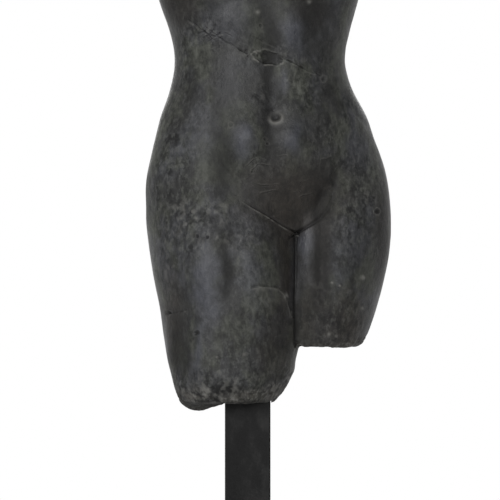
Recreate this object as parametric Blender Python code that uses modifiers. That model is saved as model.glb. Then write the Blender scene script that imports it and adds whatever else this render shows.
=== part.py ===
"""Broken female torso statuette in dark stone, on a square post and a low base.

Frame: metres, +Z up, the figure faces -Y. The origin is the centre of the base's underside, and the
post stands on the origin's axis. Run with: blender --background --python part.py
"""

import math

import bmesh
import bpy
import numpy as np
from mathutils import Vector, noise

# Driving sizes, in metres.
TORSO_HEIGHT = 0.396  # lowest point of the broken thigh to the top of the broken neck
POST_WIDTH = 0.030
POST_CLEAR_LENGTH = 0.120  # what shows of the post between the base and the thigh
POST_EDGE_BEVEL = 0.0008
SOCKET_DEPTH = 0.022  # how far the post reaches into the longer thigh
SOCKET_CLEARANCE = 0.0005  # all round the post, and above its end
BASE_WIDTH = 0.170
BASE_DEPTH = 0.160
BASE_HEIGHT = 0.024
BASE_EDGE_BEVEL = 0.002
SEAT_GAP = 0.0003  # between the post's foot and the base

# The figure is drawn, as sculptors draw one, on a grid of squares. All of its places and widths are in
# squares: x to the viewer's right, y to the back, and h up from the lowest point of the torso.
GRID_HEIGHT = 600.0
SQUARE = TORSO_HEIGHT / GRID_HEIGHT
# x, y and h where the post's axis meets the longer thigh's broken end
POST_SEAT = (0.0, -14.0, 8.0)

# Mesh density: columns run round the body, rings up it.
COLUMNS = 64
RING_STEP = 9.4

# The line that the columns turn round, and the way the body faces there. A positive turn faces the
# viewer's right: the pelvis is turned more than the chest.
# h, x, y, turn in degrees
SPINE = (
    (0.0, -14.0, -14.0, 21.0),
    (40.0, 2.0, -10.0, 21.0),
    (72.0, 27.0, 8.0, 21.0),
    (130.0, 31.0, 20.0, 21.0),
    (180.0, 30.0, 22.0, 20.5),
    (230.0, 22.0, 20.0, 16.5),
    (293.0, 15.5, 15.0, 11.0),
    (350.0, 11.0, 14.0, 7.0),
    (410.0, 10.0, 18.0, 3.5),
    (470.0, 10.0, 25.0, 0.0),
    (530.0, 11.0, 28.0, -4.0),
    (565.0, 12.0, 24.0, -5.5),
    (600.0, 13.0, 16.0, -7.0),
)

# The way to the columns of the front and the back middle lines, in degrees like the turn. Low down
# they keep to the valleys between the thighs. h, front, back
SEAMS = (
    (0.0, 20.0, 20.0),
    (60.0, 27.0, 20.0),
    (72.0, 28.5, 20.0),
    (82.0, 23.7, 20.0),
    (100.0, 19.5, 20.0),
    (140.0, 19.0, 20.0),
    (180.0, 19.2, 20.0),
    (230.0, 16.5, 16.5),
    (293.0, 11.0, 11.0),
    (350.0, 7.0, 7.0),
    (410.0, 3.5, 3.5),
    (470.0, 0.0, 0.0),
    (530.0, -4.0, -4.0),
    (565.0, -5.5, -5.5),
    (600.0, -7.0, -7.0),
)

# Ovals stacked up the body. h, centre x, centre y, half width, half depth, turn in degrees
TRUNK = (
    (136.0, 31.0, 22.0, 22.0, 14.0, 20.0),
    (162.0, 30.0, 22.0, 54.0, 34.0, 20.0),
    (187.0, 25.0, 22.0, 92.0, 52.0, 19.0),
    (217.0, 20.2, 22.0, 117.0, 65.0, 17.0),
    (250.0, 18.8, 20.0, 118.5, 69.0, 15.0),
    (274.0, 17.0, 17.8, 110.8, 67.7, 12.8),
    (293.0, 16.3, 16.0, 104.7, 65.0, 11.0),
    (320.0, 13.6, 14.0, 92.0, 60.0, 9.0),
    (350.0, 12.2, 14.0, 85.4, 58.0, 7.0),
    (380.0, 12.0, 16.0, 90.5, 61.0, 5.0),
    (410.0, 10.9, 19.0, 100.1, 65.0, 3.0),
    (450.0, 10.0, 24.0, 108.0, 67.0, 1.0),
    (485.0, 10.0, 27.0, 110.0, 66.0, -1.0),
    (512.0, 10.0, 29.0, 106.0, 59.0, -3.0),
    (530.0, 10.5, 30.0, 95.0, 53.0, -4.0),
    (544.0, 11.0, 29.0, 75.0, 46.0, -4.5),
    (556.0, 11.5, 27.0, 53.0, 41.0, -5.0),
    (568.0, 12.0, 24.0, 40.0, 37.0, -5.5),
    (582.0, 12.5, 19.0, 35.0, 35.5, -6.0),
    (600.0, 13.0, 14.0, 34.5, 36.0, -7.0),
)

# The advanced leg, at the viewer's left, and the other one behind it.
LONG_THIGH = (
    (-20.0, -18.0, -20.0, 50.0, 52.0, 0.0),
    (0.0, -18.0, -18.0, 53.0, 56.0, 0.0),
    (30.0, -16.7, -14.0, 58.1, 60.0, 0.0),
    (50.0, -16.2, -11.0, 63.7, 64.0, 0.0),
    (80.0, -15.7, -6.0, 68.8, 68.0, 0.0),
    (100.0, -16.7, -3.0, 70.8, 70.0, 0.0),
    (130.0, -20.3, 2.0, 73.4, 74.0, 0.0),
    (165.0, -22.5, 8.0, 76.6, 76.0, 0.0),
    (200.0, -27.6, 14.0, 74.0, 72.0, 0.0),
    (235.0, -32.0, 20.0, 58.0, 60.0, 0.0),
    (265.0, -36.0, 24.0, 30.0, 34.0, 0.0),
)
SHORT_THIGH = (
    (40.0, 58.0, 24.0, 50.0, 54.0, 0.0),
    (65.0, 63.0, 26.0, 53.6, 57.0, 0.0),
    (100.0, 69.0, 30.0, 59.6, 63.0, 0.0),
    (130.0, 74.1, 34.0, 62.6, 67.0, 0.0),
    (165.0, 78.2, 38.0, 64.7, 70.0, 0.0),
    (200.0, 80.1, 40.0, 62.4, 68.0, 0.0),
    (235.0, 79.0, 40.0, 47.0, 54.0, 0.0),
    (265.0, 77.0, 38.0, 24.0, 28.0, 0.0),
)

# Rounded masses of flesh and bone, in pairs about the body's middle line or single on it.
# side of the middle line, y behind the spine line, h, half width, half depth, half height,
# softness below, softness above
SHOULDER = (84.0, 1.0, 500.0, 45.0, 48.0, 47.0, 30.0, 26.0)
SHOULDER_BLADE = (46.0, 34.0, 480.0, 44.0, 25.0, 54.0, 40.0, 34.0)
BUTTOCK = (45.0, 28.0, 192.0, 52.0, 50.0, 62.0, 12.0, 46.0)
LOWER_BELLY = (0.0, -36.0, 258.0, 62.0, 33.0, 60.0, 14.0, 30.0)
PUBIC_MOUND = (3.0, -34.0, 210.0, 40.0, 23.0, 36.0, 6.0, 14.0)

# The breasts, in a pair. side of the middle line, h, rise, half width, half height below, half height
# above; and how fast each falls off below, at its sides and above
BREAST = (50.0, 444.0, 29.0, 47.0, 35.0, 92.0)
BREAST_FALL = (0.85, 1.05, 2.2)

# How fast a mass or a stack of ovals falls away past its ends.
END_FALL = 4.0

# How softly the thighs run into the trunk: crisp at the groin, broad over the hip.
GROIN_SOFTNESS = 4.0
HIP_SOFTNESS = 30.0
GROIN_HALF_ANGLE = math.radians(44.0)
THIGH_CREASE_SOFTNESS = 2.0

# Shallow forms on the skin, seen from the front. x from the post's axis, h, rise, half width, half height
FRONT_SWELLS = (
    (-17.0, 390.0, 4.0, 19.0, 22.0),
    (45.0, 378.0, 4.0, 17.0, 24.0),
    (-15.0, 328.0, 3.0, 17.0, 26.0),
    (47.0, 328.0, 3.0, 17.0, 24.0),
    (-6.0, 271.0, 4.0, 16.0, 17.0),
    (46.0, 271.0, 4.0, 15.0, 17.0),
    (-48.0, 256.0, 3.0, 17.0, 24.0),
    (-45.0, 140.0, 3.0, 13.0, 60.0),
    (10.0, 140.0, 4.0, 17.0, 60.0),
    (62.0, 160.0, 2.5, 9.0, 45.0),
    (96.0, 140.0, 3.0, 15.0, 60.0),
)
# Shallow forms of the back, in pairs. side of the middle line, h, rise, half width, half height
BACK_SWELLS = (
    (24.0, 345.0, 3.5, 15.0, 60.0),
    (19.0, 262.0, -2.2, 9.0, 10.0),
)
# Furrows, seen from the front. x and h of their ends, depth, half width
FRONT_FURROWS = (
    ((14.0, 425.0), (17.0, 365.0), 3.2, 10.0),
    ((17.0, 365.0), (27.0, 300.0), 2.6, 10.0),
    ((27.0, 285.0), (24.0, 255.0), 3.0, 11.0),
    ((-34.0, 262.0), (-14.0, 212.0), 3.5, 9.0),
    ((94.0, 250.0), (76.0, 200.0), 3.5, 9.0),
    ((-18.0, 168.0), (-18.0, 110.0), 2.5, 7.0),
    ((76.0, 190.0), (76.0, 110.0), 2.5, 7.0),
    ((13.0, 520.0), (13.0, 450.0), 3.0, 13.0),
    ((24.0, 541.0), (82.0, 549.0), -3.0, 7.0),
    ((0.0, 541.0), (-60.0, 549.0), -3.0, 7.0),
)
# side and h of their ends, depth, half width
BACK_FURROWS = (((0.0, 510.0), (0.0, 290.0), 4.5, 14.0),)
NAVEL = (28.5, 292.5)
NAVEL_DEPTH = 4.5
NAVEL_RADIUS = 8.0

# The shoulder line dips to the viewer's right, over the leg that stands.
SHOULDER_DIP = math.tan(math.radians(3.0))
DIP_FROM_H = 430.0
DIP_FULL_H = 520.0

# The breaks.
SHORT_BREAK_H = 65.0
NECK_BREAK_H = 594.0
NECK_BREAK_SLOPE = 6.0  # the neck's break rises this much either way from front to back
ARM_BREAK_H = 515.0
# distance from the middle line at that height, and how much it leans out as it rises
LEFT_ARM_BREAK = (120.0, 0.30)
RIGHT_ARM_BREAK = (123.0, 0.22)
ARMPIT_SIDE = 118.0
BREAK_ROUGHNESS = 2.6
BREAK_GRAIN = 14.0  # size of the lumps in a broken face
# The long thigh's broken end is rounded: by this height, over this share of its radius.
RIM_RISE = 20.0
RIM_SHARE = 0.15
RIM_CHIP_SHARE = 0.28  # more than that at the viewer's right
LOW_LUMP = (-50.0, -10.0, -8.5, 18.0)  # x, y, rise, radius of the lowest lump of the break


def along(stations, heights):
    """The stations' values at these heights, on smooth curves through them."""
    table = np.array(stations)
    h = table[:, 0]
    values = table[:, 1:]
    slopes = np.gradient(values, h, axis=0)
    inside = np.clip(heights, h[0], h[-1])
    low = np.clip(np.searchsorted(h, inside, side="right") - 1, 0, len(h) - 2)
    span = (h[low + 1] - h[low])[..., None]
    t = (inside - h[low])[..., None] / span
    return (
        (2 * t**3 - 3 * t**2 + 1) * values[low]
        + (t**3 - 2 * t**2 + t) * span * slopes[low]
        + (3 * t**2 - 2 * t**3) * values[low + 1]
        + (t**3 - t**2) * span * slopes[low + 1]
    )


def reach_of_oval(origin, ray, centre, radii, turn):
    """How far along each ray an oval's far side lies, and less and less where the ray misses it."""
    cos, sin = np.cos(turn), np.sin(turn)

    def turned(x, y):
        return x * cos + y * sin, y * cos - x * sin

    start = turned(origin[0] - centre[0], origin[1] - centre[1])
    way = turned(*ray)
    wide = np.maximum(radii[0], 1e-6)
    deep = np.maximum(radii[1], 1e-6)
    a = (way[0] / wide) ** 2 + (way[1] / deep) ** 2
    b = start[0] * way[0] / wide**2 + start[1] * way[1] / deep**2
    c = (start[0] / wide) ** 2 + (start[1] / deep) ** 2 - 1
    inside = b * b - a * c
    return (np.sign(inside) * np.sqrt(np.abs(inside)) - b) / a


def merged(first, second, softness):
    """The outer of two reaches, with the valley between them filled over the softness."""
    near = np.maximum(1 - np.abs(first - second) / softness, 0)
    return np.maximum(first, second) + softness * near**2 / 4


def distance_to_line(x, h, start, end):
    """How far the points lie from the line between two points."""
    run = np.subtract(end, start)
    share = ((x - start[0]) * run[0] + (h - start[1]) * run[1]) / (run @ run)
    share = np.clip(share, 0, 1)
    return np.hypot(x - start[0] - share * run[0], h - start[1] - share * run[1])


def trimmed(first, second, softness):
    """The inner of two reaches, with the edge between them rounded."""
    near = np.maximum(1 - np.abs(first - second) / softness, 0)
    return np.minimum(first, second) - softness * near**2 / 4


class Body:
    """The figure's surface: how far it lies from the spine line, for heights and body angles.

    A body angle of 0 is the front middle line, and a positive one goes to the viewer's right.
    """

    def __init__(self, heights, columns):
        self.heights = heights
        spine = along(SPINE, heights)
        self.origin = (spine[..., 0], spine[..., 1])
        self.turn = np.radians(spine[..., 2])
        seams = np.radians(along(SEAMS, heights))
        backward = (1 - np.cos(columns)) / 2
        bearing = columns + seams[..., 0] + (seams[..., 1] - seams[..., 0]) * backward
        self.way = (np.sin(bearing), -np.cos(bearing))
        self.angles = bearing - self.turn

    def stack(self, stations):
        """The reach of a stack of ovals. It ends where its stations end."""
        table = along(stations, self.heights)
        reach = reach_of_oval(
            self.origin,
            self.way,
            (table[..., 0], table[..., 1]),
            (table[..., 2], table[..., 3]),
            np.radians(table[..., 4]),
        )
        beyond = np.maximum(stations[0][0] - self.heights, self.heights - stations[-1][0])
        return np.maximum(reach - END_FALL * np.maximum(beyond, 0), 0)

    def add_mass(self, reach, mass, hand=1):
        """The reach with a rounded mass merged into it."""
        side, back, h, half_width, half_depth, half_height, soft_low, soft_high = mass
        x, y, turn = along(SPINE, np.array(h))
        turn = math.radians(turn)
        centre = (
            x + hand * side * math.cos(turn) - back * math.sin(turn),
            y + hand * side * math.sin(turn) + back * math.cos(turn),
        )
        rise = (self.heights - h) / half_height
        share = np.sqrt(np.maximum(1 - rise**2, 0))
        softness = soft_low + (soft_high - soft_low) * np.clip((rise + 1) / 2, 0, 1)
        own = reach_of_oval(
            self.origin, self.way, centre, (half_width * share, half_depth * share), turn
        )
        own = own - END_FALL * half_height * np.maximum(np.abs(rise) - 1, 0)
        return merged(reach, own, softness)

    def relief(self, reach):
        """The shallow swells and furrows of the front and the back."""
        front = np.clip(np.cos(self.angles) * 2, 0, 1)
        back = np.clip(-np.cos(self.angles) * 2, 0, 1)
        x = self.origin[0] + reach * self.way[0]
        side = reach * np.abs(np.sin(self.angles))
        change = np.zeros_like(reach)
        for face, across, swells, furrows in (
            (front, x, FRONT_SWELLS, FRONT_FURROWS),
            (back, side, BACK_SWELLS, BACK_FURROWS),
        ):
            for swell_x, swell_h, rise, half_width, half_height in swells:
                off = ((across - swell_x) / half_width) ** 2
                off = off + ((self.heights - swell_h) / half_height) ** 2
                change += face * rise * np.exp(-off)
            for start, end, depth, half_width in furrows:
                off = distance_to_line(across, self.heights, start, end) / half_width
                change -= face * depth * np.exp(-(off**2))
        off = np.hypot(x - NAVEL[0], self.heights - NAVEL[1]) / NAVEL_RADIUS
        return reach + change - front * NAVEL_DEPTH * np.exp(-(off**2))

    def reach(self, with_short_thigh=True):
        """The whole figure's reach."""
        reach = self.stack(TRUNK)
        for hand in (-1, 1):
            for mass in (SHOULDER_BLADE, SHOULDER):
                reach = self.add_mass(reach, mass, hand)
        for mass in (LOWER_BELLY, PUBIC_MOUND):
            reach = self.add_mass(reach, mass)
        thighs = self.stack(LONG_THIGH)
        if with_short_thigh:
            thighs = merged(thighs, self.stack(SHORT_THIGH), THIGH_CREASE_SOFTNESS)
        to_side = 1 - np.exp(-((self.angles / GROIN_HALF_ANGLE) ** 4))
        softness = GROIN_SOFTNESS + (HIP_SOFTNESS - GROIN_SOFTNESS) * to_side
        reach = merged(reach, thighs, softness)
        for hand in (-1, 1):
            reach = self.add_mass(reach, BUTTOCK, hand)
        reach = self.relief(reach)
        return self.break_arms(reach)

    def break_arms(self, reach):
        """The reach cut off at the broken arms."""
        sine = np.sin(self.angles)
        for hand, (distance, lean) in ((-1, LEFT_ARM_BREAK), (1, RIGHT_ARM_BREAK)):
            limit = np.maximum(distance + lean * (self.heights - ARM_BREAK_H), ARMPIT_SIDE)
            toward = np.maximum(hand * sine, 0.05)
            own = np.where(self.heights > 440, limit / toward, 1e4)
            reach = trimmed(reach, own, 1.5)
        return reach

    def breasts(self, reach):
        """How far the breasts stand forward at each point of the reach."""
        side_at, h_at, most, half_width, below, above = BREAST
        fall_below, fall_beside, fall_above = BREAST_FALL
        forward = np.cos(self.angles) > 0
        total = np.zeros_like(reach)
        for hand in (-1, 1):
            across = (reach * np.sin(self.angles) - hand * side_at) / half_width
            up = (self.heights - h_at) / np.where(self.heights < h_at, below, above)
            off = across**2 + up**2
            upward = up / np.sqrt(off + 1e-9)
            power = fall_beside + (fall_above - fall_beside) * np.maximum(upward, 0)
            power = power + (fall_below - fall_beside) * np.maximum(-upward, 0)
            total += forward * most * np.maximum(1 - off, 0) ** power
        return total

    def points(self, reach):
        """The surface's points, in squares."""
        forward = self.breasts(reach)
        x = self.origin[0] + reach * self.way[0] + forward * np.sin(self.turn)
        y = self.origin[1] + reach * self.way[1] - forward * np.cos(self.turn)
        dip = np.clip((self.heights - DIP_FROM_H) / (DIP_FULL_H - DIP_FROM_H), 0, 1)
        dip = dip * dip * (3 - 2 * dip) * SHOULDER_DIP
        h = self.heights - dip * (x - self.origin[0])
        return np.stack(np.broadcast_arrays(x, y, h), axis=-1)


def lumps(points, size):
    """Smooth noise from -1 to 1 at each point, with lumps of the size in squares."""
    flat = points.reshape(-1, 3) / size
    found = [noise.fractal(Vector(p), 0.8, 2.0, 3) for p in flat]
    return np.array(found).reshape(points.shape[:-1])


def column_angles():
    """The columns' body angles, closer together at the front and back middle lines."""
    even = np.arange(COLUMNS) * (2 * math.pi / COLUMNS)
    return even - 0.12 * np.sin(2 * even)


def rough(points):
    """How far a broken face stands out of its general form, at each point."""
    return lumps(points, BREAK_GRAIN) * BREAK_ROUGHNESS


def lower_break_rings(angles):
    """The long thigh's broken end, from its middle out to its rim."""
    rim_h = POST_SEAT[2] + RIM_RISE
    rim = Body(np.full((1, COLUMNS), rim_h), angles)
    reach = rim.reach(with_short_thigh=False)
    edge = RIM_SHARE + RIM_CHIP_SHARE * np.clip(rim.way[0], 0, 1)
    rings = []
    for share in (0.12, 0.3, 0.48, 0.64, 0.79, 0.89, 0.96):
        ring = rim.points(reach * share)
        rise = np.maximum((share - 1 + edge) / edge, 0) ** 1.8 * RIM_RISE
        x, y, lump_rise, radius = LOW_LUMP
        lump = lump_rise * np.exp(-(((ring[..., 0] - x) ** 2 + (ring[..., 1] - y) ** 2) / radius**2))
        ring[..., 2] = POST_SEAT[2] + rise + lump + rough(ring) * (1 - share**6)
        rings.append(ring)
    return rings


def short_break_rings(angles):
    """The short thigh's broken end, a shelf between the long thigh's side and its own rim."""
    rings = []
    for share in (0.05, 0.3, 0.55, 0.8, 0.94):
        plain_h = SHORT_BREAK_H - 8 + 16 * share
        level = Body(np.full((1, COLUMNS), plain_h), angles)
        inner = level.reach(with_short_thigh=False)
        outer = level.reach()
        ring = level.points(inner + (outer - inner) * share)
        shelf_h = SHORT_BREAK_H + 1 - 4 * share + 8 * max(0.0, (share - 0.82) / 0.18) ** 2
        on_shelf = np.clip((outer - inner) / 10, 0, 1)
        ring[..., 2] = plain_h + (shelf_h + rough(ring) - plain_h) * on_shelf
        rings.append(ring)
    return rings


def neck_break_rings(top):
    """The neck's broken end, from its rim in to its middle."""
    middle = top.mean(axis=1, keepdims=True)
    rings = []
    for share in (0.88, 0.6, 0.25):
        ring = middle + (top - middle) * share
        ring[..., 2] += 2 + rough(ring)
        rings.append(ring)
    return rings


def rings_of_torso():
    """All rings of the torso from the middle of its lower break to the middle of its neck break."""
    angles = column_angles()[None, :]
    rings = lower_break_rings(angles)
    for h in np.linspace(POST_SEAT[2] + RIM_RISE, SHORT_BREAK_H - 10, 4):
        body = Body(np.full((1, COLUMNS), h), angles)
        rings.append(body.points(body.reach(with_short_thigh=False)))
    rings += short_break_rings(angles)
    low = SHORT_BREAK_H + 11
    count = round((NECK_BREAK_H - NECK_BREAK_SLOPE - low) / RING_STEP)
    for share in np.linspace(0, 1, count + 1):
        tilt = max(0.0, (share - 0.8) / 0.2) ** 2 * NECK_BREAK_SLOPE
        h = low + (NECK_BREAK_H - low) * share - tilt * np.cos(angles)
        body = Body(h, angles)
        rings.append(body.points(body.reach()))
    rings += neck_break_rings(rings[-1])
    return np.concatenate(rings)


def torso_mesh():
    """The torso's closed skin: quads between the rings, and a fan of triangles in each end."""
    rings = (rings_of_torso() - POST_SEAT) * SQUARE
    rings[..., 2] += BASE_HEIGHT + POST_CLEAR_LENGTH
    bm = bmesh.new()
    grid = [[bm.verts.new(point) for point in ring] for ring in rings]
    for lower, upper in zip(grid, grid[1:]):
        for i in range(COLUMNS):
            j = (i + 1) % COLUMNS
            bm.faces.new((lower[i], lower[j], upper[j], upper[i]))
    for ring, points in ((grid[0], rings[0]), (grid[-1], rings[-1])):
        hub = bm.verts.new(points.mean(axis=0))
        for i in range(COLUMNS):
            bm.faces.new((ring[i], ring[(i + 1) % COLUMNS], hub))
    bmesh.ops.recalc_face_normals(bm, faces=bm.faces)
    mesh = bpy.data.meshes.new("torso")
    bm.to_mesh(mesh)
    bm.free()
    return mesh


def material(name, colour, roughness, metallic):
    """A plain finish."""
    made = bpy.data.materials.new(name)
    made.use_nodes = True
    shader = made.node_tree.nodes["Principled BSDF"]
    shader.inputs["Base Color"].default_value = (*colour, 1)
    shader.inputs["Roughness"].default_value = roughness
    shader.inputs["Metallic"].default_value = metallic
    return made


def block(name, size, low_z, bevel, collection):
    """A box that stands on low_z, centred on the post's axis, with its edges eased."""
    bpy.ops.mesh.primitive_cube_add(size=1, location=(0, 0, low_z + size[2] / 2))
    made = bpy.context.object
    made.name = made.data.name = name
    made.data.transform(
        ((size[0], 0, 0, 0), (0, size[1], 0, 0), (0, 0, size[2], 0), (0, 0, 0, 1))
    )
    if bevel:
        edges = made.modifiers.new("eased edges", "BEVEL")
        edges.width = bevel
        edges.segments = 2
        edges.limit_method = "ANGLE"
    for old in made.users_collection:
        old.objects.unlink(made)
    collection.objects.link(made)
    return made


def cut(target, cutter):
    """Takes the cutter's shape out of the target."""
    cutter.hide_render = True
    cutter.display_type = "WIRE"
    modifier = target.modifiers.new("cut by " + cutter.name, "BOOLEAN")
    modifier.operation = "DIFFERENCE"
    modifier.object = cutter


def main():
    for old in list(bpy.data.objects):
        bpy.data.objects.remove(old)
    statuette = bpy.data.collections.new("female_torso_statuette")
    cutters = bpy.data.collections.new("cutters")
    for collection in (statuette, cutters):
        bpy.context.scene.collection.children.link(collection)

    stone = material("dark_stone", (0.035, 0.035, 0.036), 0.5, 0.0)
    black = material("black_lacquer", (0.012, 0.012, 0.012), 0.4, 0.0)

    torso = bpy.data.objects.new("torso", torso_mesh())
    statuette.objects.link(torso)
    torso.data.materials.append(stone)
    torso.data.shade_smooth()

    seat_z = BASE_HEIGHT + POST_CLEAR_LENGTH
    post_length = POST_CLEAR_LENGTH + SOCKET_DEPTH - SOCKET_CLEARANCE - SEAT_GAP
    post = block(
        "post", (POST_WIDTH, POST_WIDTH, post_length), BASE_HEIGHT + SEAT_GAP, POST_EDGE_BEVEL, statuette
    )
    post.data.materials.append(black)

    socket_width = POST_WIDTH + 2 * SOCKET_CLEARANCE
    below = 40 * SQUARE  # the cutter starts well under the broken face
    socket = block(
        "socket_cutter",
        (socket_width, socket_width, below + SOCKET_DEPTH),
        seat_z - below,
        0,
        cutters,
    )
    cut(torso, socket)

    base = block("base", (BASE_WIDTH, BASE_DEPTH, BASE_HEIGHT), 0, BASE_EDGE_BEVEL, statuette)
    base.data.materials.append(black)


main()
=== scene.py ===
# %% [markdown]
# A dark stone torso on a square post
#
# The object is a broken female torso: no head, no arms, and both thighs broken off at different
# heights. It stands on a square black post. The CAD model already has the figure's form, so this
# lesson adds what a CAD solid leaves out: the cracks, pits and scratches of old stone, its broken
# rims, and the way worn dark stone takes light.

import math

import bmesh
import bpy
import numpy as np
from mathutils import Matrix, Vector


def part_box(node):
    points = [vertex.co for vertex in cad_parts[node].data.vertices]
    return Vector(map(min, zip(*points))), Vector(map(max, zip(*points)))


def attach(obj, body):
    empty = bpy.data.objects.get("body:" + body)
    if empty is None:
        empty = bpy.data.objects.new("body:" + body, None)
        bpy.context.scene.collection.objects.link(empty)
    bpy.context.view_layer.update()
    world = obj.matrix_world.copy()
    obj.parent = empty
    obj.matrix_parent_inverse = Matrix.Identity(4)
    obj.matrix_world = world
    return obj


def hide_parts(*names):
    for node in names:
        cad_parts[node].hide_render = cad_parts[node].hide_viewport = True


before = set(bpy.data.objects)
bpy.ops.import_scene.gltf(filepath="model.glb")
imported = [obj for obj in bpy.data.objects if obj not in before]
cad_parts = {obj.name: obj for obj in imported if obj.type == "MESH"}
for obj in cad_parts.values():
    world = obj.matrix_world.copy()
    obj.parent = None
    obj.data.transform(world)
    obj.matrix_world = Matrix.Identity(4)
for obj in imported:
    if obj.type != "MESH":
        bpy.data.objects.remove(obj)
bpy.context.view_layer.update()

# %% [markdown]
# The camera
#
# Catalogue pictures of small sculpture are taken from straight in front with a long lens, so the
# figure's sides hardly converge. A long lens here is simply a camera that stands far off and sees a
# narrow field. The post is 30 mm bar and 45.5 picture points wide, and that one ratio turns every
# place in the picture into metres. The same numbers are used later to put each crack in its place.

# %% Place the camera
POINT = 0.030 / 45.5  # metres to a picture point, on the plane through the post's axis
PICTURE = 500  # picture points along each side
POST_AXIS_U = 247.7  # picture point of the post's axis, from the left
SEAT_V = 402.0  # picture point where the post enters the stone, from the top
SEAT_Z = 0.144
CAMERA_DISTANCE = 6.0
SENSOR = 36.0

view_x = (PICTURE / 2 - POST_AXIS_U) * POINT
view_z = SEAT_Z + (SEAT_V - PICTURE / 2) * POINT

lens = bpy.data.cameras.new("camera")
lens.sensor_width = SENSOR
lens.lens = SENSOR * CAMERA_DISTANCE / (PICTURE * POINT)
camera = bpy.data.objects.new("camera", lens)
bpy.context.scene.collection.objects.link(camera)
camera.location = (view_x, -CAMERA_DISTANCE, view_z)
camera.rotation_euler = (math.pi / 2, 0, 0)
bpy.context.scene.camera = camera
print("lens", round(lens.lens), "mm, looking at height", round(view_z, 3), "m")


# %% Turn places in metres into picture points
def seen_at(points):
    """The picture points, u from the left and v from the top, where the camera sees these places."""
    nearer = CAMERA_DISTANCE / (CAMERA_DISTANCE + points[:, 1])
    u = PICTURE / 2 + (points[:, 0] - view_x) / POINT * nearer
    v = PICTURE / 2 - (points[:, 2] - view_z) / POINT * nearer
    return u, v


print("the post's seat is seen at", [float(side[0]) for side in seen_at(np.array([[0, 0, SEAT_Z]]))])

# %% [markdown]
# A finer skin over the CAD form
#
# The CAD torso has faces about 6 mm wide, which is enough for its form and too coarse for a crack.
# A sculptor's way would be to paint detail by hand; here a subdivision surface rounds the same cage
# into small faces. The triangles are first joined back into four-sided faces, because a subdivision
# surface runs smoothly over those. The edges of the post's socket are marked sharp, so they stay square.

# %% Copy the torso and round it
SKIN_LEVELS = 3
WELD = 2e-6
SOCKET_HALF = 0.0155  # half the width of the square socket that the post stands in
SOCKET_TOP = 0.1665


def rounded_copy(node, levels):
    """A smooth, finely divided copy of a CAD node's mesh."""
    cage = bmesh.new()
    cage.from_mesh(node.data)
    bmesh.ops.remove_doubles(cage, verts=cage.verts, dist=WELD)
    bmesh.ops.join_triangles(
        cage, faces=cage.faces, angle_face_threshold=1.2, angle_shape_threshold=1.2
    )
    sharp = cage.edges.layers.float.new("crease_edge")
    for edge in cage.edges:
        beside = max(max(abs(end.co.x), abs(end.co.y)) for end in edge.verts) - SOCKET_HALF
        if beside < 0.0001 and edge.verts[0].co.z < SOCKET_TOP:
            edge[sharp] = 1.0
    mesh = bpy.data.meshes.new("torso_cage")
    cage.to_mesh(mesh)
    cage.free()
    shape = bpy.data.objects.new("torso_cage", mesh)
    bpy.context.scene.collection.objects.link(shape)
    rounding = shape.modifiers.new("rounding", "SUBSURF")
    rounding.levels = levels
    rounding.render_levels = levels
    graph = bpy.context.evaluated_depsgraph_get()
    fine = bpy.data.meshes.new_from_object(shape.evaluated_get(graph))
    bpy.data.objects.remove(shape)
    return fine


skin = rounded_copy(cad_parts["torso"], SKIN_LEVELS)
print("skin", len(skin.polygons), "faces")


# %% Read a mesh as arrays
def corners_of(mesh):
    """The mesh's vertex places and normals, a row each."""
    places = np.zeros(len(mesh.vertices) * 3, np.float32)
    mesh.vertices.foreach_get("co", places)
    normals = np.zeros(len(mesh.vertices) * 3, np.float32)
    mesh.vertex_normals.foreach_get("vector", normals)
    return places.reshape(-1, 3).astype(float), normals.reshape(-1, 3).astype(float)


print("the skin's lowest point", round(float(corners_of(skin)[0][:, 2].min()), 4), "m")

# %% [markdown]
# Where the marks are
#
# Each mark of the carving or of age is a line or a spot on the front. They are written here once, in
# picture points, because that is how one reads them off the real thing. The distance from a line to
# every point of the skin then drives three things: where the mesh is refined, how deep it is cut, and
# how the stone is coloured there.

# %% Lines of the carving
# The left groin runs down from the hip, and the right one up to it. The crease parts the thighs.
LEFT_GROIN = (
    (213, 143), (219, 159), (227, 175), (233, 189), (240, 200), (252, 208), (266, 216), (281, 226),
    (295, 234),
)
RIGHT_GROIN = (
    (297, 234), (308, 227), (319, 220), (327, 211), (332, 203), (334, 190), (336, 176), (344, 165),
)
CREASE = ((296, 231), (295.5, 260), (295.5, 300), (295.5, 346))
HIP_LINE = ((327, 80), (334, 88), (345, 100), (356, 112), (367, 124), (373, 138))
print("the left groin is drawn through", len(LEFT_GROIN), "points")

# %% Lines of age and damage
CRACK_LEFT = ((189, 20), (199, 28), (210, 34), (220, 38), (230, 44), (239, 49), (247, 53))
CRACK_RIGHT = ((283, 57), (291, 61), (299, 66), (309, 71), (320, 75))
UPPER_SCRATCH = ((254, 37), (264, 41), (276, 47))
THIGH_SEAM = ((254, 288), (262, 286), (270, 287.5), (278, 287.5), (284, 295), (288, 304), (291, 314))
SIDE_NICK = ((162, 312), (170, 313.5), (184, 311))
HATCHES = (
    ((200, 26), (212, 38)), ((205, 25), (218, 36)), ((203, 38), (214, 29)), ((208, 41), (220, 33)),
    ((214, 40), (222, 37)), ((197, 33), (206, 30)),
)
SCRATCHES = (
    ((247, 166), (253, 160), (258, 158), (264, 160)), ((252, 170), (258, 165), (271, 166)),
    ((276, 157), (286, 156)), ((262, 193), (275, 191.5), (285, 194), (299, 192)),
    ((253, 184), (264, 186), (277, 184.5)), ((301, 197), (313, 193)), ((263, 222), (274, 218)),
    ((226, 33), (236, 37)), ((288, 60), (304, 68)), ((322, 160), (330, 157)),
    ((296, 183), (306, 181)),
)
SHARP_LINES = (
    LEFT_GROIN, RIGHT_GROIN, CREASE, CRACK_LEFT, CRACK_RIGHT, UPPER_SCRATCH, THIGH_SEAM, SIDE_NICK,
)
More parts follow.
